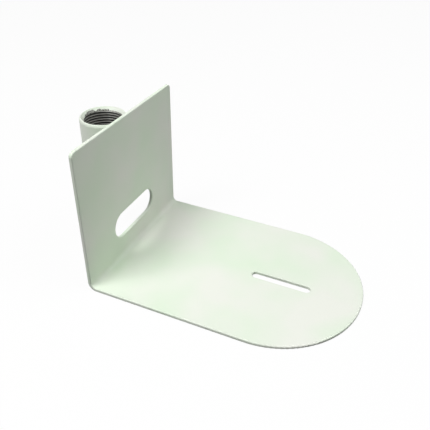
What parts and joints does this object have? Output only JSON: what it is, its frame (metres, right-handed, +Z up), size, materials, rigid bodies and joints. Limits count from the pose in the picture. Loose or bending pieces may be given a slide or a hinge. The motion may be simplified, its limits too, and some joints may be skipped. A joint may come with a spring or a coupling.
{
  "type": "camera pole mount",
  "caption": "White folded steel shelf bracket with a round-nosed base, cable and screw slots, and a threaded pipe coupling welded behind its upright.",
  "frame": {"origin": "on the underside of the base, in the middle of the footprint of plate and coupling together", "axes": "+X out from the upright along the base to its round nose, +Y across the bracket, +Z up along the coupling to its mouth"},
  "size_m": [0.239, 0.14, 0.122],
  "materials": {
    "powder_coat": "white satin powder coat"
  },
  "bodies": {
    "root": {"bracket_plate": "powder_coat", "pole_coupling": "powder_coat", "weld_bead_left": "powder_coat", "weld_bead_right": "powder_coat"}
  },
  "joints": []
}
